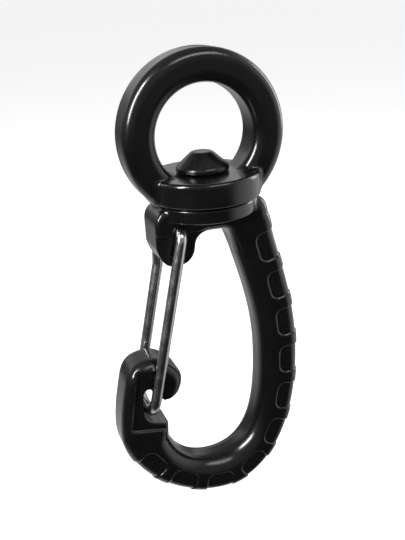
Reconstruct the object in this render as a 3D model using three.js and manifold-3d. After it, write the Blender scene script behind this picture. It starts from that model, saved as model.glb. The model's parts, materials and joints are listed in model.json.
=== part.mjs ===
// Swivel-eye snap hook: a moulded eye turns on a headed stud above a moulded hook with a sprung wire gate.
// Millimetres, +Z up. The origin is the centre of the eye's hole, on the swivel axis (Z).
// The hook lies in the XZ plane, with its spine on +X and its nose and gate on -X.

import * as THREE from 'three';
import { mergeVertices } from 'three/addons/utils/BufferGeometryUtils.js';
import Module from 'manifold-3d';

const wasm = await Module();
wasm.setup();

// ---- Driving dimensions -------------------------------------------------------------------------

// Eye: a ring with its hole along Y, standing on a round base that the stud passes through.
const eyeHoleRadius = 12.4;
const eyeWall = 8.1;
const eyeThickness = 10.6;
const eyeCornerRadius = 2.7;
const eyeFloorRise = 3.1;
const baseRadius = 14.2;
const baseHeight = 6.2;
const baseEdgeRadius = 0.9;

// Swivel: the clearances let the eye turn freely on the stud and over the collar.
const swivelGap = 0.4;
const pinClearance = 0.3;
const studRadius = 3.5;
const studHeadRadius = 6.6;
const studHeadRim = 1.1;
const studHeadHeight = 3.6;
const studTipRadius = 2.6;
const studEdge = 0.3;
const barbHeight = 0.35;
const barbPitch = 1.3;

// Hook: one bar section all round, with the collar on top.
const collarRadius = 12.7;
const collarHeight = 3.5;
const collarEdgeRadius = 0.5;
const barThickness = 11.6;
const barWidth = 10.9;
const edgeRadius = 3.0;
const shoulderHalfWidth = 15.5;
const shoulderDrop = 6.2;
const bridgeDepth = 7.8;
const spineX = 17.95;
const spineRise = 9.2;
const bendX = -1.0;
const bendDrop = 24.8;

// Nose: a wall behind the gate's end, a domed crown above it and a beak that laps over it.
const noseWall = 6.5;
const noseCrown = 7.8;
const noseWidth = 17.5;
const noseBackHeight = 20.5;
const noseShoulder = 2.4;
const notchRadius = 1.6;
const notchHeadroom = 6.85;
const beakLap = 3.3;
const flatDepth = 0.8;

// Gate ear below the left shoulder.
const earWidth = 11.0;
const earDrop = 9.0;
const earFlatDrop = 0.6;

// Wire gate: spring wire, hinged in the ear at two offset holes.
const wireRadius = 1.25;
const wireClearance = 0.3;
const pivotInset = 6.9;
const pivotDrop = 6.3;
const secondHoleX = -2.4;
const secondHoleZ = -4.4;
const gateLean = THREE.MathUtils.degToRad(13);
const gateLength = 49.3;
const gateEndRadius = 5.3;
const pivotBendRadius = 2.3;
const pivotEngagement = 4.4;
const gateTravel = THREE.MathUtils.degToRad(30);

// Grip pads: shallow pockets in a row round the outside of the bar.
const padDepth = 0.35;
const padLength = 7.9;
const padGap = 3.2;
const padMargin = 1.7;
const padCornerRadius = 2.2;
const padRowStart = 2.8;
const padRowFinish = 6.4;

// ---- Materials ----------------------------------------------------------------------------------

const blackNylon = new THREE.MeshStandardMaterial({ color: 0x131315, roughness: 0.32, metalness: 0 });
const blackAcetal = new THREE.MeshStandardMaterial({ color: 0x1a1a1c, roughness: 0.38, metalness: 0 });
const springSteel = new THREE.MeshStandardMaterial({ color: 0xc6c8ca, roughness: 0.22, metalness: 1 });

// ---- Geometry helpers ---------------------------------------------------------------------------

// A closed three.js geometry as a manifold solid.
function toSolid(geometry) {
  const bare = geometry.index ? geometry.toNonIndexed() : geometry.clone();
  bare.deleteAttribute('normal');
  bare.deleteAttribute('uv');
  const merged = mergeVertices(bare, 1e-4);
  return new wasm.Manifold(new wasm.Mesh({
    numProp: 3,
    vertProperties: new Float32Array(merged.attributes.position.array),
    triVerts: new Uint32Array(merged.index.array),
  }));
}

function toMesh(name, solid, material) {
  const data = solid.getMesh();
  const geometry = new THREE.BufferGeometry();
  geometry.setAttribute('position', new THREE.BufferAttribute(data.vertProperties, 3));
  geometry.setIndex(new THREE.BufferAttribute(data.triVerts, 1));
  geometry.computeVertexNormals();
  const mesh = new THREE.Mesh(geometry, material);
  mesh.name = name;
  return mesh;
}

// Revolves a closed [radius, height] profile about Z.
function revolve(points, segments) {
  const profile = points.map(([radius, height]) => new THREE.Vector2(radius, height));
  return new THREE.LatheGeometry([...profile, profile[0].clone()], segments).rotateX(Math.PI / 2);
}

// Points of a quarter turn anticlockwise from the given angle.
function quarterArc(x, z, radius, startDegrees, steps) {
  const points = [];
  for (let step = 0; step <= steps; step += 1) {
    const angle = THREE.MathUtils.degToRad(startDegrees + (90 * step) / steps);
    points.push([x + radius * Math.cos(angle), z + radius * Math.sin(angle)]);
  }
  return points;
}

// Section of a ring, with all four corners rounded.
function ringProfile(innerRadius, outerRadius, low, high, radius, steps) {
  return [
    ...quarterArc(outerRadius - radius, low + radius, radius, -90, steps),
    ...quarterArc(outerRadius - radius, high - radius, radius, 0, steps),
    ...quarterArc(innerRadius + radius, high - radius, radius, 90, steps),
    ...quarterArc(innerRadius + radius, low + radius, radius, 180, steps),
  ];
}

// Section of a solid disc, with its rim rounded above and below.
function discProfile(outerRadius, low, high, radius, steps) {
  return [
    [0, low],
    ...quarterArc(outerRadius - radius, low + radius, radius, -90, steps),
    ...quarterArc(outerRadius - radius, high - radius, radius, 0, steps),
    [0, high],
  ];
}

// Extrudes an XZ outline along Y, centred on the hook's plane, with its edges rounded.
// A positive inset gives the same form with every surface moved in by that much.
function extrudeOutline(outline, thickness, rounding, inset = 0, curveSegments = 8) {
  const bevel = Math.max(rounding - inset, 0);
  const depth = thickness - 2 * inset - 2 * bevel;
  return new THREE.ExtrudeGeometry(outline, {
    depth,
    bevelEnabled: bevel > 0,
    bevelThickness: bevel,
    bevelSize: bevel,
    bevelOffset: -bevel - inset,
    bevelSegments: 3,
    curveSegments,
  }).translate(0, 0, -depth / 2).rotateX(Math.PI / 2);
}

// A round bar along Y, from one Y to another.
function pinHole(x, z, radius, fromY, toY, segments = 20) {
  const length = toY - fromY;
  return new THREE.CylinderGeometry(radius, radius, length, segments).translate(x, fromY + length / 2, z);
}

// ---- Eye ----------------------------------------------------------------------------------------

const baseTop = eyeFloorRise - eyeHoleRadius;
const baseBottom = baseTop - baseHeight;
const boreRadius = studRadius + pinClearance;

function eyeRing() {
  const halfThickness = eyeThickness / 2;
  const corner = Math.min(eyeCornerRadius, eyeWall / 2.5, halfThickness / 1.5);
  const profile = ringProfile(
    eyeHoleRadius, eyeHoleRadius + eyeWall, -halfThickness, halfThickness, corner, 4);
  return toSolid(revolve(profile, 64).rotateX(Math.PI / 2));
}

// The ring stands in the base, and what would reach below the base is cut away.
function swivelEye() {
  const reach = 2 * (eyeHoleRadius + eyeWall);
  const below = new THREE.BoxGeometry(2 * reach, 2 * reach, reach).translate(0, 0, baseBottom - reach / 2);
  const base = revolve(discProfile(baseRadius, baseBottom, baseTop, baseEdgeRadius, 3), 60);
  const bore = new THREE.CylinderGeometry(boreRadius, boreRadius, 3 * baseHeight, 40)
    .rotateX(Math.PI / 2)
    .translate(0, 0, baseTop - baseHeight / 2);
  return eyeRing().subtract(toSolid(below)).add(toSolid(base)).subtract(toSolid(bore));
}

// ---- Stud ---------------------------------------------------------------------------------------

const collarTop = baseBottom - swivelGap;
const bridgeBottom = collarTop - bridgeDepth;
const studFoot = bridgeBottom + pinClearance;

// Profile of the shank where it is held in the hook: barbs that stand out by barbHeight.
function barbProfile(radius) {
  const points = [];
  for (let foot = studFoot + barbHeight; foot + barbPitch < collarTop; foot += barbPitch) {
    points.push([radius, foot]);
    points.push([radius + barbHeight, foot + 0.6 * barbPitch]);
    points.push([radius, foot + 0.65 * barbPitch]);
  }
  return points;
}

function swivelStud() {
  const underHead = baseTop + pinClearance;
  const rimTop = underHead + studHeadRim;
  const tipTop = rimTop + studHeadHeight;
  const points = [
    [0, studFoot],
    [studRadius - studEdge, studFoot],
    [studRadius, studFoot + studEdge],
    ...barbProfile(studRadius),
    [studRadius, underHead],
    [studHeadRadius - studEdge, underHead],
    [studHeadRadius, underHead + studEdge],
    [studHeadRadius, rimTop - studEdge],
    [studHeadRadius - studEdge, rimTop],
    [studTipRadius + studEdge, tipTop - studEdge],
    [studTipRadius - studEdge, tipTop],
    [0, tipTop],
  ];
  return toSolid(revolve(points, 32));
}

// ---- Hook ---------------------------------------------------------------------------------------

const half = barWidth / 2;
const shoulderTop = collarTop - 0.4;
const earLeft = -shoulderHalfWidth;
const earRight = earLeft + earWidth;
const pivot = new THREE.Vector3(earLeft + pivotInset, 0, collarTop - pivotDrop);
const secondHole = new THREE.Vector3(pivot.x + secondHoleX, 0, pivot.z + secondHoleZ);
const gateDown = new THREE.Vector3(-Math.sin(gateLean), 0, -Math.cos(gateLean));
const gateEnd = pivot.clone().addScaledVector(gateDown, gateLength);
const earBottom = pivot.z - earDrop;
const spineZ = gateEnd.z + spineRise;
const spineOuter = spineX + half;
const spineInner = spineX - half;
const bendZ = gateEnd.z - bendDrop;
const bendOuter = bendZ - half + 0.15;
const bendInner = bendZ + half - 0.35;
const notchLeft = gateEnd.x - wireRadius - wireClearance;
const notchTop = gateEnd.z + notchHeadroom;
const beakTip = gateEnd.z + beakLap;
const noseLeft = notchLeft - noseWall;
const noseRight = noseLeft + noseWidth;
const noseTop = notchTop + noseCrown;

// The outside edge of the bar, from the right shoulder round the bend to the nose, as cubic curves.
function outerEdge() {
  const path = new THREE.CurvePath();
  const start = new THREE.Vector2(shoulderHalfWidth + 0.9, shoulderTop - shoulderDrop);
  const side = new THREE.Vector2(spineOuter, spineZ);
  const low = new THREE.Vector2(bendX + 1.0, bendOuter);
  const left = new THREE.Vector2(noseLeft, noseTop - noseBackHeight);
  path.add(new THREE.CubicBezierCurve(start, new THREE.Vector2(start.x + 2.2, start.y - 11.5),
    new THREE.Vector2(side.x, side.y + 17), side));
  path.add(new THREE.CubicBezierCurve(side, new THREE.Vector2(side.x, side.y - 25.5),
    new THREE.Vector2(low.x + 12.5, low.y), low));
  path.add(new THREE.CubicBezierCurve(low, new THREE.Vector2(low.x - 14, low.y),
    new THREE.Vector2(left.x, left.y - 11), left));
  return path;
}

function addCurves(shape, path) {
  for (const curve of path.curves) {
    shape.bezierCurveTo(curve.v1.x, curve.v1.y, curve.v2.x, curve.v2.y, curve.v3.x, curve.v3.y);
  }
}

function hookOutline() {
  const shape = new THREE.Shape();
  const corner = 1.5 * edgeRadius;
  const outer = outerEdge();
  const start = outer.curves[0].v0;
  const neck = new THREE.Vector2(start.x - barWidth + 0.3, start.y - 4.9);
  shape.moveTo(-shoulderHalfWidth + corner, shoulderTop);
  shape.lineTo(shoulderHalfWidth - corner, shoulderTop);
  shape.quadraticCurveTo(shoulderHalfWidth, shoulderTop, shoulderHalfWidth + 0.2, shoulderTop - corner);
  shape.lineTo(start.x, start.y);
  addCurves(shape, outer);
  // Nose: a back that leans in towards the top, a domed top and the beak's outside.
  const backTop = new THREE.Vector2(noseLeft + noseShoulder, noseTop - 5.3);
  shape.bezierCurveTo(noseLeft, noseTop - 15, noseLeft + 1.4, noseTop - 9.6, backTop.x, backTop.y);
  shape.bezierCurveTo(backTop.x + 1.0, backTop.y + 3.4, backTop.x + 2.6, noseTop - 0.3,
    backTop.x + 7.0, noseTop);
  shape.bezierCurveTo(backTop.x + 9.6, noseTop, noseRight - 3.6, noseTop - 1.2,
    noseRight - 1.4, noseTop - 3.5);
  shape.bezierCurveTo(noseRight + 0.5, noseTop - 5.5, noseRight + 0.3, noseTop - 8,
    noseRight - 1.2, noseTop - 10.6);
  // Inside of the bend and of the spine.
  shape.bezierCurveTo(noseRight - 3.2, noseTop - 13.8, noseRight - 4.4, noseTop - 16.5,
    noseRight - 4.6, noseTop - 20.2);
  shape.bezierCurveTo(noseRight - 4.9, noseTop - 27, bendX - 9.2, bendInner, bendX - 0.6, bendInner);
  shape.bezierCurveTo(bendX + 10.6, bendInner, spineInner, spineZ - 17, spineInner, spineZ);
  shape.bezierCurveTo(spineInner, spineZ + 13.5, neck.x + 2.8, neck.y - 10.6, neck.x, neck.y);
  // Under the bridge and round the gate ear.
  shape.bezierCurveTo(neck.x - 0.9, neck.y + 3.4, neck.x - 1.4, bridgeBottom, neck.x - 4.6, bridgeBottom);
  shape.lineTo(earRight + 3.4, bridgeBottom);
  shape.quadraticCurveTo(earRight + 0.5, bridgeBottom - 0.1, earRight, bridgeBottom - 2.4);
  shape.bezierCurveTo(earRight - 0.4, earBottom + 1.4, earRight - 2.2, earBottom,
    earRight - 5.4, earBottom);
  shape.quadraticCurveTo(earLeft + 1.2, earBottom, earLeft, earBottom + 5.2);
  shape.lineTo(earLeft, shoulderTop - corner);
  shape.quadraticCurveTo(earLeft, shoulderTop, earLeft + corner, shoulderTop);
  return shape;
}

// The notch behind the beak: a rounded pocket that opens to the inside over a sloping floor.
function notchOutline() {
  const shape = new THREE.Shape();
  const right = notchLeft + 2 * notchRadius;
  const mouth = noseRight + 3;
  shape.moveTo(notchLeft, notchTop - notchRadius);
  shape.absarc(notchLeft + notchRadius, notchTop - notchRadius, notchRadius, Math.PI, 0, true);
  shape.lineTo(right, beakTip + 0.9);
  shape.quadraticCurveTo(right + 0.1, beakTip, right + 1.2, beakTip);
  shape.lineTo(noseRight - 3.9, beakTip);
  shape.quadraticCurveTo(noseRight - 2, beakTip + 0.5, mouth, beakTip + 2.6);
  shape.lineTo(mouth, beakTip - 10.4);
  shape.lineTo(notchLeft + 4.2, beakTip - 7.1);
  shape.quadraticCurveTo(notchLeft - 0.2, beakTip - 6.3, notchLeft - 0.1, beakTip - 2.8);
  shape.closePath();
  return shape;
}

// A rounded rectangle between two corners.
function roundedRectangle(left, bottom, right, top, radius) {
  const shape = new THREE.Shape();
  shape.moveTo(left + radius, bottom);
  shape.lineTo(right - radius, bottom);
  shape.absarc(right - radius, bottom + radius, radius, -Math.PI / 2, 0);
  shape.lineTo(right, top - radius);
  shape.absarc(right - radius, top - radius, radius, 0, Math.PI / 2);
  shape.lineTo(left + radius, top);
  shape.absarc(left + radius, top - radius, radius, Math.PI / 2, Math.PI);
  shape.lineTo(left, bottom + radius);
  shape.absarc(left + radius, bottom + radius, radius, Math.PI, 1.5 * Math.PI);
  return shape;
}

// Shallow flats on both faces of the nose and of the ear, where the gate's legs pass.
function legFlats() {
  const noseFlat = roundedRectangle(
    noseLeft + 3.6, gateEnd.z - 5.2, noseRight - 2.9, noseTop - 2.5, flatDepth);
  const earFlat = roundedRectangle(
    earLeft - 4, earBottom - 4, earRight + 4, pivot.z - earFlatDrop, flatDepth);
  const cuts = [];
  for (const side of [-1, 1]) {
    for (const outline of [noseFlat, earFlat]) {
      const slab = extrudeOutline(outline, 2 * flatDepth, 0, 0, 3);
      cuts.push(toSolid(slab.translate(0, side * (barThickness / 2), 0)));
    }
  }
  return cuts;
}

// The middle of the row of pads: the outside edge moved in by the given depth.
function padLine(depth) {
  const edge = outerEdge();
  const steps = 120;
  const points = [];
  for (let step = 0; step <= steps; step += 1) {
    const point = edge.getPointAt(step / steps);
    const tangent = edge.getTangentAt(step / steps);
    points.push(new THREE.Vector2(point.x + depth * tangent.y, point.y - depth * tangent.x));
  }
  return new THREE.SplineCurve(points);
}

// Grip pads: the space between the bar's surface and the same form set in by padDepth,
// kept only inside a row of rounded prisms spaced evenly along the bar.
function gripPads(outline) {
  const core = toSolid(extrudeOutline(outline, barThickness, edgeRadius, padDepth));
  const reach = (barWidth - edgeRadius - padMargin) / 2;
  const line = padLine(reach);
  const span = line.getLength() - padRowStart - padRowFinish;
  const count = Math.floor((span + padGap) / (padLength + padGap));
  const pitch = (span - padLength) / (count - 1);
  const footprint = roundedRectangle(-padLength / 2, -reach - 4, padLength / 2, reach, padCornerRadius);
  const pads = [];
  for (let index = 0; index < count; index += 1) {
    const along = (padRowStart + padLength / 2 + index * pitch) / line.getLength();
    const point = line.getPointAt(along);
    const tangent = line.getTangentAt(along);
    const prism = extrudeOutline(footprint, barThickness + 4, 0, 0, 3);
    prism.rotateY(Math.PI - Math.atan2(tangent.y, tangent.x));
    pads.push(toSolid(prism.translate(point.x, 0, point.y)).subtract(core));
  }
  return pads;
}

// The arc that the gate's second end sweeps as the gate turns about its first hole.
function secondHoleSlot() {
  const reach = Math.hypot(secondHoleX, secondHoleZ);
  const start = Math.atan2(secondHoleZ, secondHoleX);
  const end = start + gateTravel;
  const radius = wireRadius + wireClearance;
  const tipX = pivot.x + reach * Math.cos(end);
  const tipZ = pivot.z + reach * Math.sin(end);
  const shape = new THREE.Shape();
  shape.absarc(pivot.x, pivot.z, reach + radius, start, end, false);
  shape.absarc(tipX, tipZ, radius, end, end + Math.PI, false);
  shape.absarc(pivot.x, pivot.z, reach - radius, end, start, true);
  shape.absarc(secondHole.x, secondHole.z, radius, start + Math.PI, start + 2 * Math.PI, false);
  return shape;
}

function hookBody() {
  const outline = hookOutline();
  const collar = revolve(
    discProfile(collarRadius, collarTop - collarHeight, collarTop, collarEdgeRadius, 2), 60);
  const bore = revolve([
    [0, bridgeBottom - 2],
    [boreRadius, bridgeBottom - 2],
    ...barbProfile(boreRadius),
    [boreRadius, collarTop + 2],
    [0, collarTop + 2],
  ], 32);
  const holeRadius = wireRadius + wireClearance;
  const slot = extrudeOutline(secondHoleSlot(), barThickness, 0, 0, 6);
  const cuts = [
    toSolid(bore),
    toSolid(extrudeOutline(notchOutline(), barThickness + 4, 0, 0, 6)),
    toSolid(pinHole(pivot.x, pivot.z, holeRadius, -barThickness, barThickness)),
    toSolid(pinHole(secondHole.x, secondHole.z, holeRadius, -barThickness, 1)),
    toSolid(slot.translate(0, barThickness / 2 + 0.6, 0)),
    ...legFlats(),
    ...gripPads(outline),
  ];
  let body = toSolid(extrudeOutline(outline, barThickness, edgeRadius)).add(toSolid(collar));
  for (const cut of cuts) {
    body = body.subtract(cut);
  }
  return body;
}

// ---- Gate ---------------------------------------------------------------------------------------

// Adds straight runs between the given corners, each corner rounded by its own radius.
function roundedRoute(corners) {
  const path = new THREE.CurvePath();
  let from = corners[0].point;
  for (let index = 1; index < corners.length - 1; index += 1) {
    const { point, radius } = corners[index];
    const back = from.clone().sub(point).normalize();
    const ahead = corners[index + 1].point.clone().sub(point).normalize();
    const turn = Math.PI - back.angleTo(ahead);
    const trim = radius * Math.tan(turn / 2);
    const entry = point.clone().addScaledVector(back, trim);
    const exit = point.clone().addScaledVector(ahead, trim);
    const pull = (4 / 3) * Math.tan(turn / 4) * radius;
    path.add(new THREE.LineCurve3(from, entry));
    path.add(new THREE.CubicBezierCurve3(entry, entry.clone().addScaledVector(back, -pull),
      exit.clone().addScaledVector(ahead, -pull), exit));
    from = exit;
  }
  path.add(new THREE.LineCurve3(from, corners.at(-1).point));
  return path;
}

function wireGate() {
  const legY = barThickness / 2 + wireClearance + wireRadius;
  const join = pivot.clone().addScaledVector(gateDown, 12);
  const at = (point, y) => new THREE.Vector3(point.x, y, point.z);
  const innerY = barThickness / 2 - pivotEngagement;
  const route = roundedRoute([
    { point: at(pivot, -innerY) },
    { point: at(pivot, -legY), radius: pivotBendRadius },
    { point: at(gateEnd, -legY), radius: gateEndRadius },
    { point: at(gateEnd, legY), radius: gateEndRadius },
    { point: at(join, legY), radius: 6 },
    { point: at(secondHole, legY), radius: pivotBendRadius },
    { point: at(secondHole, innerY) },
  ]);
  const section = new THREE.Shape();
  section.absarc(0, 0, wireRadius, 0, 2 * Math.PI);
  return toSolid(new THREE.ExtrudeGeometry(section, {
    steps: 112,
    extrudePath: route,
    curveSegments: 5,
    bevelEnabled: false,
  }));
}

// ---- Assembly -----------------------------------------------------------------------------------

const snapHook = new THREE.Group();
snapHook.add(
  toMesh('swivel_eye', swivelEye(), blackNylon),
  toMesh('swivel_stud', swivelStud(), blackAcetal),
  toMesh('hook_body', hookBody(), blackNylon),
  toMesh('wire_gate', wireGate(), springSteel),
);

export default snapHook;
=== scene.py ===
# A swivel-eye snap hook: a black moulded eye turns on a headed stud above a black moulded hook,
# whose mouth is closed by a bright sprung wire gate. Sizes are in millimetres, and MM turns them to metres.
import json
import math

import bpy
import numpy as np
from mathutils import Matrix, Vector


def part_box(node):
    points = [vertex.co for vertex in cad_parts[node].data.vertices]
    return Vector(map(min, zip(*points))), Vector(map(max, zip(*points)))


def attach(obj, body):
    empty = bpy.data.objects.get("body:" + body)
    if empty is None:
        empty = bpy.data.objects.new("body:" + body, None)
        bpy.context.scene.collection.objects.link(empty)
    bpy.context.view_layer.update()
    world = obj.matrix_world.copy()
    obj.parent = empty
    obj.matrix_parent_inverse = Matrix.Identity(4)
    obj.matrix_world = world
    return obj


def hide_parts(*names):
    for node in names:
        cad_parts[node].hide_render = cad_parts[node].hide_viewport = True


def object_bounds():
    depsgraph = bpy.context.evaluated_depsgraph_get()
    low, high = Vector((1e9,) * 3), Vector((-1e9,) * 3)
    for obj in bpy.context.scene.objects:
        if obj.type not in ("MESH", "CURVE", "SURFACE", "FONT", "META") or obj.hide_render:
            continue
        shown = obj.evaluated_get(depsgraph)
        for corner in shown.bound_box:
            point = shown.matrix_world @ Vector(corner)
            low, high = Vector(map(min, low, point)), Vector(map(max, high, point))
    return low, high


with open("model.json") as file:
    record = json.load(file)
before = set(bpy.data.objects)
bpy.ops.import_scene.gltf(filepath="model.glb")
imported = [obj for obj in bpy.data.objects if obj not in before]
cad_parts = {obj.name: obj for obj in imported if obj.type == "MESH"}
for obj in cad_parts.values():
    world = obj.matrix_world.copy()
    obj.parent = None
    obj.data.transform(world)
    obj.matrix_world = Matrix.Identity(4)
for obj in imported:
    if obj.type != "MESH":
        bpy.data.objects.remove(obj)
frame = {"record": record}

cad_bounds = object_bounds()
MM = 0.001


# ---- Camera and studio --------------------------------------------------------------------------
# A long lens a little left of the hook's front and above it. The studio is white behind and on the
# right, dim overhead and dark in front, so black plastic shows its form by what it mirrors. Three
# soft boxes draw the long highlights.

def unit(*xyz):
    vector = np.array(xyz, float)
    return vector / np.linalg.norm(vector)


azimuth = math.radians(18.76)
elevation = math.radians(20.68)
roll = math.radians(3.42)
distance = 197.42
aim = np.array([0.0, 0.0, -35.22])
lens = 50.93
aim_right = 1.46
aim_up = 0.133

forward = np.array([
    math.sin(azimuth) * math.cos(elevation),
    math.cos(azimuth) * math.cos(elevation),
    -math.sin(elevation),
])
level_right = np.array([math.cos(azimuth), -math.sin(azimuth), 0.0])
level_up = np.cross(level_right, forward)
right = math.cos(roll) * level_right - math.sin(roll) * level_up
up = math.sin(roll) * level_right + math.cos(roll) * level_up
station = aim - distance * forward - aim_right * level_right - aim_up * level_up

camera_data = bpy.data.cameras.new("camera")
camera_data.lens = lens
camera_data.clip_start = 0.01
camera_data.clip_end = 200.0
camera = bpy.data.objects.new("camera", camera_data)
bpy.context.scene.collection.objects.link(camera)


def placed(side, top, back, spot):
    """The matrix that stands something at a place, with its own X, Y and Z axes along these."""
    rows = np.column_stack([side, top, back, spot]).tolist()
    return Matrix([*rows, [0.0, 0.0, 0.0, 1.0]])


camera.matrix_world = placed(right, up, -forward, station * MM)
bpy.context.scene.camera = camera
bpy.context.scene.view_settings.view_transform = "Standard"


def add_node(tree, kind, settings=(), inputs=()):
    """Adds a node, sets its properties, and sets or links its inputs by name or number."""
    node = tree.nodes.new(kind)
    for name, value in dict(settings).items():
        setattr(node, name, value)
    for name, value in dict(inputs).items():
        if isinstance(value, bpy.types.NodeSocket):
            tree.links.new(value, node.inputs[name])
        else:
            node.inputs[name].default_value = value
    return node


def to_linear(code):
    """An sRGB hex code as a linear colour."""
    channels = [int(code[start:start + 2], 16) / 255 for start in (1, 3, 5)]
    linear = [c / 12.92 if c <= 0.04045 else ((c + 0.055) / 1.055) ** 2.4 for c in channels]
    return (*linear, 1.0)


world = bpy.data.worlds.new("studio")
bpy.context.scene.world = world
world.use_nodes = True
tree = world.node_tree
tree.nodes.clear()
look = add_node(tree, "ShaderNodeTexCoord")
axes = add_node(tree, "ShaderNodeSeparateXYZ", inputs={0: look.outputs["Generated"]})
across, inward, rising = (axes.outputs[name] for name in "XYZ")

# Each part of the studio is a product of smooth steps along an axis of the direction looked in:
# where the step starts and finishes, and the brightness before and after it.
behind = (inward, 0.0, 0.7, 0.0, 1.0)
low_wall = [behind, (rising, -0.55, -0.08, 0.8, 0.1)]
high_wall = [behind, (rising, 0.07, 0.26, 0.0, 0.95), (rising, 0.35, 0.6, 1.0, 0.3)]
right_side = [(across, 0.45, 0.95, 0.0, 1.1)]
ceiling = [(rising, 0.5, 0.9, 0.0, 0.2)]
table_behind = [(rising, -0.92, -0.6, 1.1, 0.0), (inward, -0.35, 0.1, 0.0, 1.0)]
all_round = [(rising, -0.3, 0.1, 0.02, 0.28)]

brightness = 0.0
for smooth_steps in (low_wall, high_wall, right_side, ceiling, table_behind, all_round):
    level = 1.0
    for axis, start, finish, before, after in smooth_steps:
        smooth_step = add_node(tree, "ShaderNodeMapRange", {"interpolation_type": "SMOOTHSTEP"}, {
            "Value": axis, "From Min": start, "From Max": finish, "To Min": before, "To Max": after,
        })
        level = add_node(tree, "ShaderNodeMath", {"operation": "MULTIPLY"}, {
            0: level, 1: smooth_step.outputs["Result"],
        }).outputs[0]
    brightness = add_node(tree, "ShaderNodeMath", {"operation": "MAXIMUM"}, {
        0: brightness, 1: level,
    }).outputs[0]

white = to_linear("#ffffff")
mirrored = add_node(tree, "ShaderNodeBackground", inputs={"Color": white, "Strength": brightness})
seen = add_node(tree, "ShaderNodeBackground", inputs={"Color": white, "Strength": 1.0})
ray = add_node(tree, "ShaderNodeLightPath")
choice = add_node(tree, "ShaderNodeMixShader", inputs={
    0: ray.outputs["Is Camera Ray"], 1: mirrored.outputs[0], 2: seen.outputs[0],
})
add_node(tree, "ShaderNodeOutputWorld", inputs={"Surface": choice.outputs[0]})


def soft_light(name, direction, reach, width, height, watts):
    """A soft box that shines at the middle of the hook from a direction, with sizes in metres."""
    data = bpy.data.lights.new(name, "AREA")
    data.shape = "RECTANGLE"
    data.size = width
    data.size_y = height
    data.energy = watts
    light = bpy.data.objects.new(name, data)
    bpy.context.scene.collection.objects.link(light)
    away = unit(*direction)
    side = unit(*np.cross((0.0, 0.0, 1.0), away))
    top = np.cross(away, side)
    light.matrix_world = placed(side, top, away, aim * MM + away * reach)


soft_light("left_box", (-0.78, -0.34, 0.52), 0.9, 0.16, 0.62, 13.0)
soft_light("top_box", (0.25, -0.60, 0.76), 0.9, 0.60, 0.26, 2.4)
soft_light("right_box", (0.95, 0.20, 0.20), 1.0, 0.30, 0.7, 3.0)

floor_drop = 0.12
floor_half = 60.0
floor_mesh = bpy.data.meshes.new("floor")
floor_level = cad_bounds[0][2] - floor_drop
floor_mesh.from_pydata([
    (x * floor_half, y * floor_half, floor_level) for x, y in ((-1, -1), (1, -1), (1, 1), (-1, 1))
], [], [(0, 1, 2, 3)])
floor = bpy.data.objects.new("floor", floor_mesh)
bpy.context.scene.collection.objects.link(floor)
floor.visible_glossy = False  # the studio's own lower half is what the plastic mirrors
paper = bpy.data.materials.new("matt_white_paper")
paper.use_nodes = True
paper_shader = paper.node_tree.nodes["Principled BSDF"]
paper_shader.inputs["Base Color"].default_value = to_linear("#f2f2f2")
paper_shader.inputs["Roughness"].default_value = 0.9
paper_shader.inputs["Emission Color"].default_value = white
paper_shader.inputs["Emission Strength"].default_value = 0.55
floor_mesh.materials.append(paper)


# ---- Swivel eye ---------------------------------------------------------------------------------
# One nylon moulding: a thick ring standing on a round base that the stud passes through. The shape
# is a field of distances to the surface, joined with small fillets as the mould has, then skinned.

def corner_distance(across, along, half_across, half_along, rounding):
    """Distance to a rectangle with rounded corners, centred on zero."""
    side = np.abs(across) - (half_across - rounding)
    end = np.abs(along) - (half_along - rounding)
    outside = np.hypot(np.maximum(side, 0), np.maximum(end, 0))
    return outside + np.minimum(np.maximum(side, end), 0) - rounding


def joined(first, second, fillet):
    """Both solids, with a fillet where they meet."""
    blend = np.clip(0.5 + 0.5 * (second - first) / fillet, 0, 1)
    return second + (first - second) * blend - fillet * blend * (1 - blend)


def common(first, second, rounding):
    """Only what both solids share, with the new edge rounded."""
    return -joined(-first, -second, rounding)


def cut(solid, tool, rounding):
    return common(solid, -tool, rounding)


def grid_axes(low, high, step):
    """Evenly spaced places along X, Y and Z, shaped so that they combine into a block."""
    lines = [np.arange(low[i] - 3 * step, high[i] + 4 * step, step, dtype=np.float32) for i in range(3)]
    return lines[0][:, None, None], lines[1][None, :, None], lines[2][None, None, :]


CORNERS = [(i, j, k) for i in (0, 1) for j in (0, 1) for k in (0, 1)]
EDGES = [(a, b) for a in CORNERS for b in CORNERS if a < b and sum(map(abs, np.subtract(a, b))) == 1]


def read_field(field, spots):
    """The field between its grid points, by linear steps."""
    base = np.clip(np.floor(spots).astype(int), 0, np.array(field.shape) - 2)
    part = (spots - base).astype(np.float32)
    total = np.zeros(len(spots), np.float32)
    for corner in CORNERS:
        weight = np.prod(np.where(np.array(corner) == 1, part, 1 - part), axis=1)
        total += weight * field[tuple((base + corner).T)]
    return total


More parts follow.
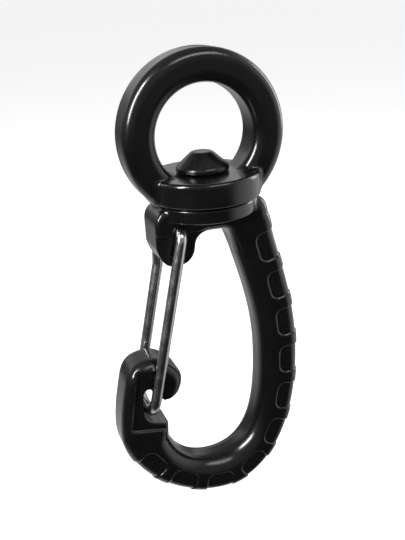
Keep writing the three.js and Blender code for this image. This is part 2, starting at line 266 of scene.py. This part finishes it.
def skin(field):
    """Vertices, in grid steps, and four-sided faces of the surface where the field is zero."""
    inside = field < 0
    blocks = [inside[i:i - 1 or None, j:j - 1 or None, k:k - 1 or None] for i, j, k in CORNERS]
    count = np.sum(blocks, axis=0, dtype=np.int8)
    mixed = (count > 0) & (count < 8)
    cells = np.argwhere(mixed)
    number = np.full(mixed.shape, -1, np.int64)
    number[mixed] = np.arange(len(cells))
    total = np.zeros((len(cells), 3))
    hits = np.zeros(len(cells))
    for first, second in EDGES:
        start = field[tuple((cells + first).T)]
        finish = field[tuple((cells + second).T)]
        crossed = (start < 0) != (finish < 0)
        share = start[crossed] / (start[crossed] - finish[crossed])
        total[crossed] += np.array(first) + share[:, None] * np.subtract(second, first)
        hits[crossed] += 1
    spots = cells + total / hits[:, None]
    slopes = np.gradient(field)
    for _ in range(3):  # steps along the slope, down to the surface itself
        normal = np.column_stack([read_field(slope, spots) for slope in slopes])
        size = np.maximum(np.sum(normal ** 2, axis=1), 1e-6)
        shift = -(read_field(field, spots) / size)[:, None] * normal
        spots = spots + np.clip(shift, -0.25, 0.25)
    faces = []
    for axis in range(3):
        side, rise = (axis + 1) % 3, (axis + 2) % 3
        here = np.moveaxis(inside, (axis, side, rise), (0, 1, 2))
        cell = np.moveaxis(number, (axis, side, rise), (0, 1, 2))
        a, b, c = np.nonzero(here[:-1, 1:-1, 1:-1] != here[1:, 1:-1, 1:-1])
        ring = np.column_stack([cell[a, b, c], cell[a, b + 1, c], cell[a, b + 1, c + 1], cell[a, b, c + 1]])
        outward = here[:-1, 1:-1, 1:-1][a, b, c]
        faces.append(np.where(outward[:, None], ring, ring[:, ::-1]))
    return spots, np.concatenate(faces)


def add_piece(name, points, faces, material, body, node, slot):
    """A smooth-shaded mesh, from points in millimetres, that stands for a CAD node."""
    mesh = bpy.data.meshes.new(name)
    mesh.from_pydata((np.asarray(points) * MM).tolist(), [], faces)
    mesh.shade_smooth()
    mesh.materials.append(material)
    piece = bpy.data.objects.new(name, mesh)
    bpy.context.scene.collection.objects.link(piece)
    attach(piece, body)
    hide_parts(node)
    return piece


def skinned_piece(name, lines, field, *details):
    """A piece from its distance field, whose grid starts at the first place on each axis."""
    spots, faces = skin(field)
    start = [line.flat[0] for line in lines]
    step = lines[0].flat[1] - lines[0].flat[0]
    return add_piece(name, np.array(start) + spots * step, faces.tolist(), *details)


def moulded_nylon(name, colour, gloss):
    """Black nylon from a polished steel mould: a satin gloss with a faint orange peel a millimetre
    across, slightly duller clouds where the melt cooled unevenly, hairline scuffs from handling,
    and a parting line along the middle plane where the two halves of the mould met."""
    peel_size = 0.9
    cloud_size = 7.0
    scuff_length = 5.0
    scuff_width = 0.35
    line_width = 0.22
    material = bpy.data.materials.new(name)
    material.use_nodes = True
    tree = material.node_tree
    shader = tree.nodes["Principled BSDF"]
    place = add_node(tree, "ShaderNodeTexCoord").outputs["Object"]
    peel = add_node(tree, "ShaderNodeTexNoise", inputs={
        "Vector": place, "Scale": 1 / (peel_size * MM), "Detail": 2.0, "Roughness": 0.45,
    })
    clouds = add_node(tree, "ShaderNodeTexNoise", inputs={
        "Vector": place, "Scale": 1 / (cloud_size * MM), "Detail": 3.0,
    })
    stretched = add_node(tree, "ShaderNodeMapping", inputs={
        "Vector": place, "Rotation": (0.4, 0.25, 0.6), "Scale": (scuff_length / scuff_width, 1.0, 1.0),
    })
    scuffs = add_node(tree, "ShaderNodeTexNoise", inputs={
        "Vector": stretched.outputs[0], "Scale": 1 / (scuff_length * MM), "Detail": 1.0,
    })
    scuffed = add_node(tree, "ShaderNodeMapRange", {"interpolation_type": "SMOOTHSTEP"}, {
        "Value": scuffs.outputs["Fac"], "From Min": 0.66, "From Max": 0.72, "To Min": 0.0, "To Max": 0.03,
    })
    clouded = add_node(tree, "ShaderNodeMapRange", {"interpolation_type": "SMOOTHSTEP"}, {
        "Value": clouds.outputs["Fac"], "From Min": 0.3, "From Max": 0.7,
        "To Min": gloss - 0.04, "To Max": gloss + 0.05,
    })
    rough = add_node(tree, "ShaderNodeMath", {"operation": "ADD"}, {
        0: clouded.outputs["Result"], 1: scuffed.outputs["Result"],
    })
    tree.links.new(rough.outputs[0], shader.inputs["Roughness"])
    depth = add_node(tree, "ShaderNodeSeparateXYZ", inputs={0: place}).outputs["Y"]
    off_plane = add_node(tree, "ShaderNodeMath", {"operation": "ABSOLUTE"}, {0: depth}).outputs[0]
    ridge = add_node(tree, "ShaderNodeMapRange", {"interpolation_type": "SMOOTHSTEP"}, {
        "Value": off_plane, "From Min": 0.0, "From Max": line_width * MM, "To Min": 1.0, "To Max": 0.0,
    })
    peel_bump = add_node(tree, "ShaderNodeBump", inputs={
        "Height": peel.outputs["Fac"], "Strength": 0.35, "Distance": 0.02 * MM,
    })
    line_bump = add_node(tree, "ShaderNodeBump", inputs={
        "Height": ridge.outputs["Result"], "Strength": 0.4, "Distance": 0.05 * MM,
        "Normal": peel_bump.outputs[0],
    })
    tree.links.new(line_bump.outputs[0], shader.inputs["Normal"])
    tinted = add_node(tree, "ShaderNodeMix", {"data_type": "RGBA"}, {
        "Factor": clouds.outputs["Fac"], 6: to_linear(colour), 7: to_linear("#0b0b0c"),
    })
    tree.links.new(tinted.outputs[2], shader.inputs["Base Color"])
    shader.inputs["IOR"].default_value = 1.53
    return material


eye_low, eye_high = (np.array(corner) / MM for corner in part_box("swivel_eye"))
step = 0.25
eye_outer = eye_high[2]
eye_wall = 8.1
eye_thickness = 10.6
eye_corner = 2.7
base_radius = eye_high[1]
base_bottom = eye_low[2]
base_height = 6.2
base_edge = 0.9
bore_radius = 3.8
ring_fillet = 1.0
ring_sunk = 0.3
bore_edge = 0.4
past_face = 2.0

x, y, z = eye_lines = grid_axes(eye_low, eye_high, step)
ring = corner_distance(
    np.hypot(x, z) - (eye_outer - eye_wall / 2), y, eye_wall / 2, eye_thickness / 2, eye_corner)
ring = np.maximum(ring, base_bottom + ring_sunk - z)
base = corner_distance(
    np.hypot(x, y), z - (base_bottom + base_height / 2), base_radius, base_height / 2, base_edge)
bore = np.hypot(x, y) - bore_radius
bore = np.maximum(bore, z - (base_bottom + base_height + past_face))
eye_field = cut(joined(ring, base, ring_fillet), bore, bore_edge)
eye_nylon = moulded_nylon("moulded_black_nylon", "#070708", 0.19)
skinned_piece("eye_moulding", eye_lines, eye_field, eye_nylon, "eye", "swivel_eye", "eye_nylon")


# ---- Swivel stud --------------------------------------------------------------------------------
# An acetal stud with a coned head, pressed up through the eye's base into the hook's collar and
# held there by barbs. It is turned here from its profile, with every edge broken.

def turned_piece(profile, sides):
    """Points and faces of a closed solid turned about Z, whose profile starts and ends on the axis."""
    points = [(0.0, 0.0, profile[0][1]), (0.0, 0.0, profile[-1][1])]
    rings = profile[1:-1]
    for radius, height in rings:
        for side in range(sides):
            angle = 2 * math.pi * side / sides
            points.append((radius * math.cos(angle), radius * math.sin(angle), height))
    faces = []
    for side in range(sides):
        following = (side + 1) % sides
        faces.append((0, 2 + following, 2 + side))
        last = 2 + (len(rings) - 1) * sides
        faces.append((1, last + side, last + following))
        for level in range(len(rings) - 1):
            low = 2 + level * sides
            faces.append((low + side, low + following, low + sides + following, low + sides + side))
    return points, faces


def eased(corners, steps=6):
    """A profile with each corner, given as (radius, height, easing), rounded by a short curve."""
    spots = [np.array(corner[:2], float) for corner in corners]
    profile = [tuple(spots[0])]
    for index in range(1, len(spots) - 1):
        easing = corners[index][2]
        before = spots[index] + easing * unit(*(spots[index - 1] - spots[index]))
        after = spots[index] + easing * unit(*(spots[index + 1] - spots[index]))
        for share in np.linspace(0, 1, steps):
            near = (1 - share) * before + share * spots[index]
            far = (1 - share) * spots[index] + share * after
            profile.append(tuple((1 - share) * near + share * far))
    profile.append(tuple(spots[-1]))
    return profile


def moulded_acetal(name):
    """Black acetal: harder and a little glossier than the nylon, with faint rings left by the
    turned mould insert and no parting line."""
    ring_pitch = 0.5
    wave_unit = 0.314  # a wave texture of scale 1 repeats after this length
    mottle_size = 1.2
    material = bpy.data.materials.new(name)
    material.use_nodes = True
    tree = material.node_tree
    shader = tree.nodes["Principled BSDF"]
    place = add_node(tree, "ShaderNodeTexCoord").outputs["Object"]
    rings = add_node(tree, "ShaderNodeTexWave", {
        "wave_type": "RINGS", "rings_direction": "Z", "wave_profile": "SIN",
    }, {"Vector": place, "Scale": wave_unit / (ring_pitch * MM), "Distortion": 0.4, "Detail": 1.0})
    mottle = add_node(tree, "ShaderNodeTexNoise", inputs={
        "Vector": place, "Scale": 1 / (mottle_size * MM), "Detail": 2.0,
    })
    rough = add_node(tree, "ShaderNodeMapRange", {"interpolation_type": "SMOOTHSTEP"}, {
        "Value": mottle.outputs["Fac"], "From Min": 0.3, "From Max": 0.7, "To Min": 0.2, "To Max": 0.3,
    })
    tree.links.new(rough.outputs["Result"], shader.inputs["Roughness"])
    ring_bump = add_node(tree, "ShaderNodeBump", inputs={
        "Height": rings.outputs["Fac"], "Strength": 0.25, "Distance": 0.01 * MM,
    })
    mottle_bump = add_node(tree, "ShaderNodeBump", inputs={
        "Height": mottle.outputs["Fac"], "Strength": 0.3, "Distance": 0.02 * MM,
        "Normal": ring_bump.outputs[0],
    })
    tree.links.new(mottle_bump.outputs[0], shader.inputs["Normal"])
    tinted = add_node(tree, "ShaderNodeMix", {"data_type": "RGBA"}, {
        "Factor": mottle.outputs["Fac"], 6: to_linear("#080809"), 7: to_linear("#0c0c0d"),
    })
    tree.links.new(tinted.outputs[2], shader.inputs["Base Color"])
    shader.inputs["IOR"].default_value = 1.48
    return material


stud_low, stud_high = (np.array(corner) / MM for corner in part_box("swivel_stud"))
head_radius = stud_high[0]
head_top = stud_high[2]
head_rim = 1.1
cone_height = 3.6
tip_radius = 2.6
shank_radius = 3.5
barb_height = 0.35
barb_pitch = 1.3
barb_count = 5
barb_ramp = 0.6
barb_back = 0.65
stud_sides = 96
head_foot = head_top - cone_height - head_rim

stud_corners = [(0, stud_low[2]), (shank_radius, stud_low[2], 0.3)]
for barb in range(barb_count):
    foot = stud_low[2] + barb_height + barb * barb_pitch
    stud_corners.append((shank_radius, foot, 0.05))
    stud_corners.append((shank_radius + barb_height, foot + barb_ramp * barb_pitch, 0.03))
    stud_corners.append((shank_radius, foot + barb_back * barb_pitch, 0.02))
stud_corners += [
    (shank_radius, head_foot, 0.2),
    (head_radius, head_foot, 0.35),
    (head_radius, head_foot + head_rim, 0.45),
    (tip_radius, head_top, 0.5),
    (0, head_top),
]
stud_points, stud_faces = turned_piece(eased(stud_corners), stud_sides)
stud_acetal = moulded_acetal("moulded_black_acetal")
add_piece("stud_turned", stud_points, stud_faces, stud_acetal, "hook", "swivel_stud", "stud_acetal")


# ---- Hook ---------------------------------------------------------------------------------------
# One nylon moulding with a rounded bar section: collar, spine, bend and nose, and the ear that the
# gate hangs in. Flats run beside the gate's legs, and shallow pads round the outside give grip. The
# edges are tighter on the ear, and fuller on the inside of the bend and spine.

def bend_through(points, *controls, steps=20):
    """Adds a quadratic or cubic curve to a list of points, from the last of them."""
    knots = [np.array(points[-1], float), *(np.array(control, float) for control in controls)]
    for share in np.linspace(0, 1, steps + 1)[1:]:
        level = knots
        while len(level) > 1:
            level = [(1 - share) * a + share * b for a, b in zip(level, level[1:])]
        points.append(tuple(level[0]))


def arc_through(points, centre, radius, start, finish, steps=16):
    """Adds an arc about a centre, with its angles in radians."""
    for angle in np.linspace(start, finish, steps + 1):
        points.append((centre[0] + radius * math.cos(angle), centre[1] + radius * math.sin(angle)))


def path_distance(path, across, along):
    """Distance in the XZ plane to an open path, on a grid of places."""
    px, pz = np.broadcast_arrays(across, along)
    nearest = np.full(px.shape, np.inf, np.float32)
    for (ax, az), (bx, bz) in zip(path, path[1:]):
        ex, ez = bx - ax, bz - az
        share = np.clip(((px - ax) * ex + (pz - az) * ez) / (ex * ex + ez * ez), 0, 1)
        nearest = np.minimum(nearest, (px - ax - share * ex) ** 2 + (pz - az - share * ez) ** 2)
    return np.sqrt(nearest)


def fade(distance, start, length):
    """Rises from 0 to 1 over a length, from a start."""
    return np.clip((distance - start) / length, 0, 1)


def pocket_distance(across, along, sides, ends, rounding):
    """Distance to a rectangle with rounded corners, given by its two sides and its two ends."""
    return corner_distance(
        across - sum(sides) / 2, along - sum(ends) / 2,
        (sides[1] - sides[0]) / 2, (ends[1] - ends[0]) / 2, rounding)


def outline_distance(outline, across, along):
    """Distance in the XZ plane to a closed outline, negative inside, on a grid of places."""
    corners = np.array(outline, np.float32)
    shape = np.broadcast(across, along).shape
    px = np.broadcast_to(across, shape).ravel()
    pz = np.broadcast_to(along, shape).ravel()
    nearest = np.full(px.shape, np.inf, np.float32)
    inside = np.zeros(px.shape, bool)
    for (ax, az), (bx, bz) in zip(corners, np.roll(corners, -1, axis=0)):
        ex, ez = bx - ax, bz - az
        length = ex * ex + ez * ez
        if length < 1e-10:
            continue
        share = np.clip(((px - ax) * ex + (pz - az) * ez) / length, 0, 1)
        nearest = np.minimum(nearest, (px - ax - share * ex) ** 2 + (pz - az - share * ez) ** 2)
        if az != bz:
            crosses = (az > pz) != (bz > pz)
            inside ^= crosses & (px < ex * (pz - az) / ez + ax)
    distance = np.sqrt(nearest)
    return np.where(inside, -distance, distance).reshape(shape)


hook_low, hook_high = (np.array(corner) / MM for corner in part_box("hook_body"))
joints = frame["record"]["behaviour"]["joints"]
gate_joint = next(joint for joint in joints if joint["name"] == "gate_hinge")
pivot = np.array(gate_joint["pos_m"]) / MM

bar_thickness = 11.6
bar_width = 10.9
bar_edge = 3.0
ear_edge = 1.3
inner_edge = 4.6
collar_radius = hook_high[1]
collar_top = hook_high[2]
collar_height = 3.5
shoulder_half = 15.5
shoulder_top = collar_top - 0.4
bridge_bottom = collar_top - 7.8
spine_outer = hook_high[0]
spine_inner = spine_outer - bar_width
bend_outer = hook_low[2]
bend_inner = bend_outer + bar_width - 0.5
bend_x = -1.0
nose_left = hook_low[0]
nose_right = nose_left + 17.5
ear_left = -shoulder_half + 0.9
ear_right = -shoulder_half + 11.0
ear_bottom = pivot[2] - 9.0

gate_lean = math.radians(13)
gate_length = 49.3
gate_end = pivot + gate_length * np.array([-math.sin(gate_lean), 0.0, -math.cos(gate_lean)])
wire_radius = 1.25
wire_room = 0.3
notch_radius = 1.6
notch_left = gate_end[0] - wire_radius - wire_room
notch_top = gate_end[2] + 6.85
beak_tip = gate_end[2] + 3.3
nose_top = notch_top + 7.8
spine_z = gate_end[2] + 9.2
nose_foot = nose_top - 20.5

outer_edge = [(shoulder_half + 0.9, shoulder_top - 6.2)]
bend_through(outer_edge, (shoulder_half + 3.1, shoulder_top - 17.7), (spine_outer, spine_z + 17),
             (spine_outer, spine_z), steps=40)
bend_through(outer_edge, (spine_outer, spine_z - 25.5), (bend_x + 13.5, bend_outer),
             (bend_x + 1.0, bend_outer), steps=48)
bend_through(outer_edge, (bend_x - 13.0, bend_outer), (nose_left, nose_foot - 11),
             (nose_left, nose_foot), steps=40)

shoulder_corner = 1.5 * bar_edge
neck_x = outer_edge[0][0] - bar_width + 0.3
neck_z = outer_edge[0][1] - 4.9
nose_back = nose_left + 2.4
outline = [(ear_left + shoulder_corner, shoulder_top), (shoulder_half - shoulder_corner, shoulder_top)]
bend_through(outline, (shoulder_half, shoulder_top),
             (shoulder_half + 0.2, shoulder_top - shoulder_corner), steps=10)
outline += outer_edge
bend_through(outline, (nose_left, nose_top - 15), (nose_left + 1.4, nose_top - 9.6),
             (nose_back, nose_top - 5.3))
bend_through(outline, (nose_back + 1.0, nose_top - 1.9), (nose_back + 2.6, nose_top - 0.3),
             (nose_back + 7.0, nose_top))
bend_through(outline, (nose_back + 9.6, nose_top), (nose_right - 3.6, nose_top - 1.2),
             (nose_right - 1.4, nose_top - 3.5))
bend_through(outline, (nose_right + 0.5, nose_top - 5.5), (nose_right + 0.3, nose_top - 8),
             (nose_right - 1.2, nose_top - 10.6))
bend_through(outline, (nose_right - 3.2, nose_top - 13.8), (nose_right - 4.4, nose_top - 16.5),
             (nose_right - 4.6, nose_top - 20.2))
bend_through(outline, (nose_right - 4.9, nose_top - 27), (bend_x - 9.2, bend_inner),
             (bend_x - 0.6, bend_inner), steps=32)
bend_through(outline, (bend_x + 10.6, bend_inner), (spine_inner, spine_z - 17),
             (spine_inner, spine_z), steps=40)
bend_through(outline, (spine_inner, spine_z + 13.5), (neck_x + 2.8, neck_z - 10.6),
             (neck_x, neck_z), steps=32)
bend_through(outline, (neck_x - 0.9, neck_z + 3.4), (neck_x - 1.4, bridge_bottom),
             (neck_x - 4.6, bridge_bottom))
outline.append((ear_right + 3.4, bridge_bottom))
bend_through(outline, (ear_right + 0.5, bridge_bottom - 0.1), (ear_right, bridge_bottom - 2.4), steps=12)
bend_through(outline, (ear_right - 0.4, ear_bottom + 1.4), (ear_right - 2.2, ear_bottom),
             (ear_right - 5.4, ear_bottom), steps=14)
bend_through(outline, (ear_left + 1.2, ear_bottom), (ear_left, ear_bottom + 5.2), steps=12)
outline.append((ear_left, shoulder_top - shoulder_corner))
bend_through(outline, (ear_left, shoulder_top), (ear_left + shoulder_corner, shoulder_top), steps=10)

notch_right = notch_left + 2 * notch_radius
mouth = nose_right + 3
notch = [(notch_left, notch_top - notch_radius)]
arc_through(notch, (notch_left + notch_radius, notch_top - notch_radius), notch_radius, math.pi, 0)
notch.append((notch_right, beak_tip + 0.9))
bend_through(notch, (notch_right + 0.1, beak_tip), (notch_right + 1.2, beak_tip), steps=6)
notch.append((nose_right - 3.9, beak_tip))
bend_through(notch, (nose_right - 2, beak_tip + 0.5), (mouth, beak_tip + 2.6), steps=8)
notch += [(mouth, beak_tip - 10.4), (notch_left + 4.2, beak_tip - 7.1)]
bend_through(notch, (notch_left - 0.2, beak_tip - 6.3), (notch_left - 0.1, beak_tip - 2.8), steps=12)

x, y, z = hook_lines = grid_axes(hook_low, hook_high, step)
faces_y = np.abs(y)
profile_gap = outline_distance(outline, x, z)
# Each share rises to 1 where its edge size holds: from which place, and over how many millimetres.
ear_share = fade(-x, 1.0, 4.0) * fade(z - ear_bottom, -6.0, 4.0)
below_nose = fade(gate_end[2] - z, 6.5, 3.0)
in_spine = fade(x, -1.0, 4.0) * fade(neck_z - z, -2.0, 5.0)
from_outside = path_distance(outer_edge, x, z)
inner_share = fade(from_outside, 3.5, 3.5) * np.maximum(below_nose, in_spine)
edge = bar_edge + (ear_edge - bar_edge) * ear_share + (inner_edge - bar_edge) * inner_share
side = profile_gap + edge
end = faces_y - (bar_thickness / 2 - edge)
bar = np.hypot(np.maximum(side, 0), np.maximum(end, 0)) + np.minimum(np.maximum(side, end), 0) - edge
collar_edge = 0.5
collar = corner_distance(
    np.hypot(x, y), z - (collar_top - collar_height / 2), collar_radius, collar_height / 2, collar_edge)

pad_depth = 0.35
pad_length = 7.9
pad_gap = 3.2
pad_reach = (bar_width - bar_edge - 1.7) / 2
pad_corner = 2.2
pad_floor_edge = 0.12
pad_rim_edge = 0.16
past_edge = 2.0
row_start = 2.8
row_finish = 7.0
edge_points = np.array(outer_edge)
heading = np.gradient(edge_points, axis=0)
heading /= np.linalg.norm(heading, axis=1)[:, None]
pad_line = edge_points + pad_reach * np.column_stack([heading[:, 1], -heading[:, 0]])
travelled = np.concatenate([[0], np.cumsum(np.linalg.norm(np.diff(pad_line, axis=0), axis=1))])
row = travelled[-1] - row_start - row_finish
pad_count = int((row + pad_gap) // (pad_length + pad_gap))
pads = np.full(np.broadcast(x, z).shape, np.inf, np.float32)
first_pad = row_start + pad_length / 2
last_pad = travelled[-1] - row_finish - pad_length / 2
for along in np.linspace(first_pad, last_pad, pad_count):
    centre = [np.interp(along, travelled, pad_line[:, axis]) for axis in (0, 1)]
    ahead = unit(*(np.interp(along, travelled, heading[:, axis]) for axis in (0, 1)))
    forward_by = (x - centre[0]) * ahead[0] + (z - centre[1]) * ahead[1]
    inward_by = (x - centre[0]) * ahead[1] - (z - centre[1]) * ahead[0]
    pad = corner_distance(
        forward_by, inward_by + past_edge, pad_length / 2, pad_reach + past_edge, pad_corner)
    pads = np.minimum(pads, pad)
pad_pockets = common(-bar - pad_depth, np.broadcast_to(pads, bar.shape), pad_floor_edge)
body = cut(bar, pad_pockets, pad_rim_edge)

# The nose's flat leans with the gate and stops at the beak, but under the mouth it runs right out.
flat_depth = 0.8
flat_corner = 0.8
flat_edge = 0.35
flat_lean = 0.75 * gate_lean
nose_flat_left = -5.0
nose_flat_low = -5.0
beak_side = 2.8
beside_beak_top = 12.0
mouth_side = 7.4
under_mouth_top = 0.5
past_ear = 4.0
below_pivot = 0.6
past_end = (x - gate_end[0]) * math.sin(flat_lean) + (z - gate_end[2]) * math.cos(flat_lean)
beside_end = (x - gate_end[0]) * math.cos(flat_lean) - (z - gate_end[2]) * math.sin(flat_lean)
beside_beak = pocket_distance(
    beside_end, past_end, (nose_flat_left, beak_side), (nose_flat_low, beside_beak_top), flat_corner)
under_mouth = pocket_distance(
    beside_end, past_end, (nose_flat_left, mouth_side), (nose_flat_low, under_mouth_top), flat_corner)
ear_flat = pocket_distance(
    x, z, (ear_left - past_ear, ear_right + past_ear),
    (ear_bottom - past_ear, pivot[2] - below_pivot), flat_corner)
for flat in (np.minimum(beside_beak, under_mouth), ear_flat):
    slab = np.maximum(flat, bar_thickness / 2 - flat_depth - faces_y)
    body = cut(body, slab, flat_edge)
collar_fillet = 0.8
body = joined(body, collar, collar_fillet)

# The wire's first end sits in a hole right through the ear. Its second end rides in a slot at the
# back, and the front has a blind hole beside that slot.
hole_radius = wire_radius + wire_room
hole_edge = 0.25
second_hole = pivot + np.array([-2.4, 0.0, -4.4])
blind_hole = pivot + np.array([-1.1, 0.0, -5.1])
blind_hole_floor = -2.0
slot_floor = 0.6
slot_steps = 12
barb_room_half = 3.0
notch_edge = 0.3
bore = np.hypot(x, y) - bore_radius
barb_room = np.maximum(np.hypot(x, y) - (bore_radius + barb_height),
                       np.abs(z - (collar_top + bridge_bottom) / 2) - barb_room_half)
bore = np.maximum(np.minimum(bore, barb_room), bridge_bottom - past_face - z)
body = cut(body, bore, notch_edge)
body = cut(body, outline_distance(notch, x, z), notch_edge)
body = cut(body, np.hypot(x - pivot[0], z - pivot[2]) - hole_radius, hole_edge)
front_hole = np.maximum(
    np.hypot(x - blind_hole[0], z - blind_hole[2]) - hole_radius, y - blind_hole_floor)
body = cut(body, front_hole, hole_edge)
slot_reach = math.hypot(*(second_hole - pivot)[[0, 2]])
slot_start = math.atan2(*(second_hole - pivot)[[2, 0]])
slot_finish = slot_start + math.radians(gate_joint["range_deg"][1])
slot = np.full(np.broadcast(x, z).shape, np.inf, np.float32)
for angle in np.linspace(slot_start, slot_finish, slot_steps):
    spot_x = pivot[0] + slot_reach * math.cos(angle)
    spot_z = pivot[2] + slot_reach * math.sin(angle)
    slot = np.minimum(slot, np.hypot(x - spot_x, z - spot_z) - hole_radius)
body = cut(body, np.maximum(slot, slot_floor - y), hole_edge)

hook_nylon = moulded_nylon("moulded_black_nylon_hook", "#070708", 0.20)
skinned_piece("hook_moulding", hook_lines, body, hook_nylon, "hook", "hook_body", "hook_nylon")


# ---- Wire gate ----------------------------------------------------------------------------------
# One length of bright stainless spring wire, bent to a U. Its two ends turn into the ear at holes
# set one above the other, so that swinging the gate twists the wire, and the twist closes it.

def bent_wire(corners, spacing=0.25):
    """Places along straight runs between corners, with each corner bent to its own radius."""
    straight_spacing = 8 * spacing
    places = [np.array(corners[0][0], float)]
    for index in range(1, len(corners) - 1):
        point, radius = np.array(corners[index][0], float), corners[index][1]
        back = unit(*(np.array(corners[index - 1][0], float) - point))
        ahead = unit(*(np.array(corners[index + 1][0], float) - point))
        turn = math.pi - math.acos(np.clip(back @ ahead, -1, 1))
        trim = radius * math.tan(turn / 2)
        centre = point + unit(*(back + ahead)) * radius / math.cos(turn / 2)
        arm = (point + back * trim - centre) / radius
        for angle in np.linspace(0, turn, max(3, int(turn * radius / spacing) + 2)):
            places.append(centre + radius * (math.cos(angle) * arm - math.sin(angle) * back))
    places.append(np.array(corners[-1][0], float))
    filled = [places[0]]
    for start, finish in zip(places, places[1:]):
        pieces = max(1, int(np.linalg.norm(finish - start) / straight_spacing))
        filled += [start + (finish - start) * share for share in np.linspace(0, 1, pieces + 1)[1:]]
    return np.array(filled)


def wire_tube(places, radius, sides):
    """A round tube along the places, with its ends chamfered and closed."""
    heading = np.gradient(places, axis=0)
    heading /= np.linalg.norm(heading, axis=1)[:, None]
    lift = unit(*np.cross(heading[0], (0.0, 0.0, 1.0)))
    chamfer = 0.25
    end_share = 0.75
    stations = [(places[0], end_share), *((place, 1.0) for place in places), (places[-1], end_share)]
    headings = [heading[0], *heading, heading[-1]]
    points = []
    for index, ((place, share), ahead) in enumerate(zip(stations, headings)):
        lift = unit(*(lift - (lift @ ahead) * ahead))
        across = np.cross(ahead, lift)
        offset = chamfer if index == 1 else -chamfer if index == len(stations) - 2 else 0.0
        for side in range(sides):
            angle = 2 * math.pi * side / sides
            spoke = math.cos(angle) * lift + math.sin(angle) * across
            points.append(place + offset * ahead + share * radius * spoke)
    faces = []
    for level in range(len(stations) - 1):
        for side in range(sides):
            following = (side + 1) % sides
            low, high = level * sides, (level + 1) * sides
            faces.append((low + side, low + following, high + following, high + side))
    faces.append(tuple(range(sides))[::-1])
    faces.append(tuple(len(points) - sides + side for side in range(sides)))
    return points, faces


def drawn_spring_steel(name):
    """Stainless spring wire, drawn through a die: a bright, slightly streaked metal with hairlines
    along its length and faint duller patches where it was bent. Real die lines are a few hundredths
    of a millimetre wide, and are drawn coarser here so that they show."""
    streak_width = 0.18
    patch_size = 3.0
    material = bpy.data.materials.new(name)
    material.use_nodes = True
    tree = material.node_tree
    shader = tree.nodes["Principled BSDF"]
    shader.inputs["Metallic"].default_value = 1.0
    place = add_node(tree, "ShaderNodeTexCoord").outputs["Object"]
    leaning = add_node(tree, "ShaderNodeMapping", inputs={
        "Vector": place, "Rotation": (0.0, -gate_lean, 0.0), "Scale": (1.0, 1.0, 0.02),
    })
    streaks = add_node(tree, "ShaderNodeTexNoise", inputs={
        "Vector": leaning.outputs[0], "Scale": 1 / (streak_width * MM), "Detail": 2.0,
    })
    patches = add_node(tree, "ShaderNodeTexNoise", inputs={
        "Vector": place, "Scale": 1 / (patch_size * MM), "Detail": 2.0,
    })
    patchy = add_node(tree, "ShaderNodeMapRange", {"interpolation_type": "SMOOTHSTEP"}, {
        "Value": patches.outputs["Fac"], "From Min": 0.35, "From Max": 0.7, "To Min": 0.15, "To Max": 0.24,
    })
    streaky = add_node(tree, "ShaderNodeMapRange", {"interpolation_type": "SMOOTHSTEP"}, {
        "Value": streaks.outputs["Fac"], "From Min": 0.4, "From Max": 0.65, "To Min": 0.0, "To Max": 0.07,
    })
    rough = add_node(tree, "ShaderNodeMath", {"operation": "ADD"}, {
        0: patchy.outputs["Result"], 1: streaky.outputs["Result"],
    })
    tree.links.new(rough.outputs[0], shader.inputs["Roughness"])
    tinted = add_node(tree, "ShaderNodeMix", {"data_type": "RGBA"}, {
        "Factor": streaks.outputs["Fac"], 6: to_linear("#b4b6b8"), 7: to_linear("#c6c8ca"),
    })
    tree.links.new(tinted.outputs[2], shader.inputs["Base Color"])
    bump = add_node(tree, "ShaderNodeBump", inputs={
        "Height": streaks.outputs["Fac"], "Strength": 0.15, "Distance": 0.004 * MM,
    })
    tree.links.new(bump.outputs[0], shader.inputs["Normal"])
    return material


# The wire is thicker here than the one that its holes were sized for, within their clearance.
drawn_radius = 1.4
wire_sides = 32
wire_end_depth = 4.4
end_bend = 2.3
nose_bend = 5.3
crossing_bend = 6.0
crossing_start = 12.0
leg_y = bar_thickness / 2 + wire_room + wire_radius
pivot_depth = bar_thickness / 2 - wire_end_depth
down = (gate_end - pivot) / gate_length
crossing = pivot + crossing_start * down
front = np.array([0.0, -1.0, 0.0])
wire_corners = [
    (pivot + pivot_depth * front, 0),
    (pivot + leg_y * front, end_bend),
    (gate_end + leg_y * front, nose_bend),
    (gate_end - leg_y * front, nose_bend),
    (crossing - leg_y * front, crossing_bend),
    (second_hole - leg_y * front, end_bend),
    (second_hole - pivot_depth * front, 0),
]
wire_points, wire_faces = wire_tube(bent_wire(wire_corners), drawn_radius, wire_sides)
gate_steel = drawn_spring_steel("drawn_stainless_spring_steel")
add_piece("gate_wire_bent", wire_points, wire_faces, gate_steel, "gate", "wire_gate", "gate_wire")
